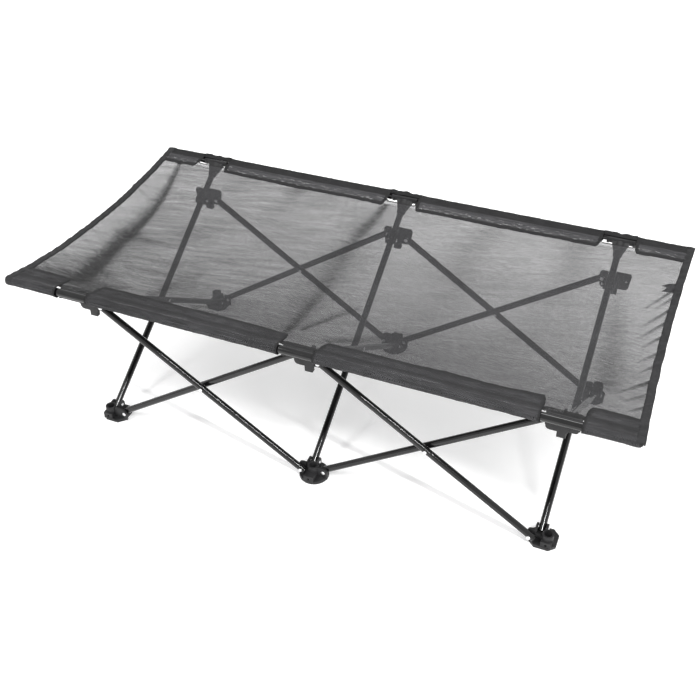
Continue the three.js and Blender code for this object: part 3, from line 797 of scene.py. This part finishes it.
def make_rivets():
    for side, sign in SIDES.items():
        for number, (station, middle) in enumerate(STATIONS.items()):
            place = (number - 1) * -sign             # -1, 0 or 1, counted as it is on the near side
            for part, height in (("foot", PIVOT_LOW), ("hub", PIVOT_HIGH)):
                rivets = [side_rivet(side, layer, middle - sign * reach * EAR_REACH, height)
                          for layer, reach in REACH[part].items() if place != reach]
                if part == "hub":
                    x = middle - sign * SADDLE_STEP["near"] - HUB_CHEEK
                    start = Vector((x, sign * PIVOT_Y, height))
                    rivets.append((start, Vector((1, 0, 0)), 2 * HUB_CHEEK))
                joined_rivets(f"rivets_{part}_{side}_{station}", rivets, f"{part}_{side}_{station}")


# ---- end tapes ----
TAPE_WRAP = 0.0085                                   # the tapes turn down over the rails by this much
TAPE_WAVE, TAPE_RIPPLE = 0.0012, 0.0005              # unevenness of its edges and of its surface
TAPE_PLUMP = 1.15
WRAP_STEPS, TAPE_STEPS = 9, 161
# The tape's section: distance in from the end of the cover, and height above the cloth.
TAPE_SECTION = [(0.000, 0.0011), (0.0045, 0.0016), (TAPE * 0.75, 0.0015), (TAPE, 0.0010),
                (TAPE, -0.0010), (TAPE * 0.7, -0.0015), (0.0045, -0.0016), (0.000, -0.0011)]


def make_tape(end_name, end):
    reach = RAIL_Y + TAPE_WRAP
    ys = np.concatenate([np.linspace(-reach, -RAIL_Y, WRAP_STEPS)[:-1],
                         np.linspace(-RAIL_Y, RAIL_Y, TAPE_STEPS),
                         np.linspace(RAIL_Y, reach, WRAP_STEPS)[1:]])
    points, faces = [], []
    for y in ys:
        x_edge = END_X - END_PULL * (1 - (y / RAIL_Y) ** 2 if abs(y) < RAIL_Y else 0)
        wave = TAPE_WAVE * noise.noise(Vector((y * 30, end * 3.0, 0)))
        over = max(0.0, abs(y) - RAIL_Y)
        fall = LIFT - math.sqrt(max(LIFT ** 2 - over ** 2, 0.0))
        for inset, lift in TAPE_SECTION:
            x = end * (x_edge - inset)
            z, _ = cloth_height(x, float(np.clip(y, -RAIL_Y, RAIL_Y)))
            ripple = TAPE_RIPPLE * math.sin(y * 300 + inset * 200)
            y_out = y + math.copysign(lift * over / LIFT, y)
            points.append((x + end * wave, y_out, float(z) + lift * TAPE_PLUMP + ripple - fall))
    n = len(TAPE_SECTION)
    for i in range(len(ys) - 1):
        for j in range(n):
            a, b = i * n + j, i * n + (j + 1) % n
            faces.append((a, b, b + n, a + n) if end > 0 else (a, a + n, b + n, b))
    faces.append(tuple(range(n)) if end < 0 else tuple(reversed(range(n))))
    last = (len(ys) - 1) * n
    faces.append(tuple(range(last, last + n)) if end > 0 else tuple(reversed(range(last, last + n))))
    tape = mesh_object(f"edge_tape_{end_name}", points, faces, TAPE_CLOTH)
    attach(tape, "cover")
    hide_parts(f"end_binding_{end_name}")


# ---- small folded tab at the right end, and tails where its tape ends ----
TAB_THICK, TAB_SINK = 0.0014, 0.0032                 # the tab hangs this far below the cloth's middle
TAIL_THICK, TAIL_SINK = 0.0022, 0.0004
TAIL_STEEP, TAIL_FLAT_TOP = 7.0, 0.002               # how fast a tail falls beside the rail


def flat_piece(name, outline, height, thickness):
    """A small flap of tape: an outline in x and y, its height at each corner, and a thickness."""
    count = len(outline)
    low = [(x, y, z) for (x, y), z in zip(outline, height)]
    high = [(x, y, z + thickness) for (x, y), z in zip(outline, height)]
    faces = [tuple(reversed(range(count))), tuple(range(count, 2 * count))]
    faces += [(k, (k + 1) % count, count + (k + 1) % count, count + k) for k in range(count)]
    piece = mesh_object(name, low + high, faces, TAPE_CLOTH, smooth=False)
    edge = piece.modifiers.new("edge", "BEVEL")
    edge.width = thickness * 0.3
    edge.segments = 2
    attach(piece, "cover")
    return piece


def make_tab():
    low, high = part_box("pull_tab")
    outer, inner = END_X - END_PULL, low.x - 0.011
    outline = [(outer, low.y - 0.004), (outer, high.y + 0.010), (inner + 0.012, high.y + 0.002),
               (inner, high.y - 0.008), (inner + 0.010, low.y + 0.010), (inner + 0.002, low.y - 0.004)]
    height = [float(cloth_height(x, y)[0]) - TAB_SINK for x, y in outline]
    tab = flat_piece("folded_tab", outline, height, TAB_THICK)
    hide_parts("pull_tab")


def make_tails():
    """A loose end of tape over the rail at both corners of the right end."""
    for side, sign in SIDES.items():
        x, y = END_X - 0.010, sign * RAIL_Y
        outline = [(x - 0.004, y - sign * 0.004), (x + 0.009, y - sign * 0.002),
                   (x + 0.010, y + sign * 0.010), (x + 0.004, y + sign * 0.007),
                   (x - 0.002, y + sign * 0.009)]
        if sign < 0:
            outline.reverse()
        top = RAIL_Z + POCKET_R
        height = [top - TAIL_SINK - TAIL_STEEP * max(0.0, abs(v) - RAIL_Y + TAIL_FLAT_TOP) ** 1.5
                  for _, v in outline]
        tail = flat_piece(f"tape_tail_{side}_right", outline, height, TAIL_THICK)


# ---- stitching: rows of short dashes on the hems ----
STITCH, STITCH_GAP, STITCH_WIDE, STITCH_HIGH = 0.0030, 0.0014, 0.0007, 0.0005
STRIP_ROWS = (FLAP - 0.002, FLAP - STRIP_HEM + 0.001, SEAM + 0.001)
OPENING_ROWS = (FLAP - 0.003, FLAP - 0.008)
STRIP_TOP, PANEL_TOP = 0.0010, 0.0001                # the rows lie this far above the cloth's middle
ROW_END = 0.003


def stitch_row(points, faces, places):
    """Dashes along a run of places, each a low ridge on the cloth."""
    for a, b in zip(places[0::2], places[1::2]):
        a, b = Vector(a), Vector(b)
        side = Vector((0, 0, 1)).cross(b - a).normalized() * STITCH_WIDE / 2
        rise = Vector((0, 0, STITCH_HIGH))
        k = len(points)
        points += [a - side, a + side, b + side, b - side, a + rise, b + rise]
        faces += [(k, k + 1, k + 4), (k + 2, k + 3, k + 5), (k + 1, k + 2, k + 5, k + 4),
                  (k + 3, k, k + 4, k + 5), (k + 3, k + 2, k + 1, k)]


def row_places(x0, x1, inset, side, lift):
    """Both ends of each dash in a row along the cot."""
    stops = []
    x = x0
    while x + STITCH < x1:
        stops += [x, x + STITCH]
        x += STITCH + STITCH_GAP
    y = SIDES[side] * (RAIL_Y - inset)
    heights, _ = cloth_height(np.array(stops), np.full(len(stops), y))
    return [(x, y, float(z) + lift) for x, z in zip(stops, heights)]


def make_stitching(side):
    points, faces = [], []
    for x0, x1 in segment_spans(side):
        for inset in STRIP_ROWS:
            row = row_places(x0 + ROW_END, x1 - ROW_END, inset, side, STRIP_TOP)
            stitch_row(points, faces, row)
    for middle in notch_centres(side):
        for inset in OPENING_ROWS:
            row = row_places(middle - NOTCH_HALF, middle + NOTCH_HALF, inset, side, PANEL_TOP)
            stitch_row(points, faces, row)
    rows = mesh_object(f"stitching_{side}", points, faces, THREAD, smooth=False)
    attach(rows, "cover")


# ---- floor and light ----
FLOOR_HALF, FLOOR_GAP = 9, 0.0006
LAMP_AIM = Vector((0, 0, 0.2))
# Each area lamp: its place, its size and its power in watts.
LAMPS = {
    "key": ((-1.6, -1.9, 2.6), (0.7, 0.7), 36),
    "top": ((0.2, 0.6, 3.0), (0.9, 0.9), 18),
    "strip": ((1.45, -1.35, 2.25), (1.5, 0.09), 54),
}


def make_stage():
    corners = [(x * FLOOR_HALF, y * FLOOR_HALF, 0) for x, y in ((-1, -1), (1, -1), (1, 1), (-1, 1))]
    floor = mesh_object("floor", corners, [(0, 1, 2, 3)], floor_material())
    floor.location.z = -FLOOR_GAP
    world = bpy.data.worlds.new("studio")
    world.use_nodes = True
    background = world.node_tree.nodes["Background"]
    background.inputs["Color"].default_value = (1, 1, 1, 1)
    background.inputs["Strength"].default_value = 1.0
    bpy.context.scene.world = world
    for name, (place, size, power) in LAMPS.items():
        make_lamp(name, place, size, power)


def make_lamp(name, place, size, power):
    """An area lamp aimed at the cot, its long side along the falling side tubes, so that it draws the
    bright line on them."""
    data = bpy.data.lights.new(name, "AREA")
    data.shape = "RECTANGLE"
    data.energy = power
    data.size, data.size_y = size
    lamp = bpy.data.objects.new(name, data)
    bpy.context.collection.objects.link(lamp)
    back = (Vector(place) - LAMP_AIM).normalized()
    tube = Vector((STATIONS["right"] - STATIONS["mid"], 0, PIVOT_LOW - PIVOT_HIGH)).normalized()
    right = (tube - back * tube.dot(back)).normalized()
    turn = Matrix((right, back.cross(right), back)).transposed()
    lamp.matrix_world = Matrix.Translation(place) @ turn.to_4x4()


def floor_material():
    material, tree, shader = new_material("pale_floor")
    cloud = noise_node(tree, coords(tree), scale=3, detail=2)
    pale = blend_colour(tree, cloud, (0.93, 0.93, 0.93), (0.95, 0.95, 0.95))
    link(tree, pale, shader.inputs["Base Color"])
    link(tree, pale, shader.inputs["Emission Color"])
    shader.inputs["Emission Strength"].default_value = 0.22
    shader.inputs["Roughness"].default_value = 0.9
    return material


make_camera()
make_stage()
make_panel()
for side in SIDES:
    make_sleeve(side)
for end_name, end in (("left", -1), ("right", 1)):
    make_tape(end_name, end)
make_rivets()
make_tab()
make_tails()
for side in SIDES:
    make_stitching(side)
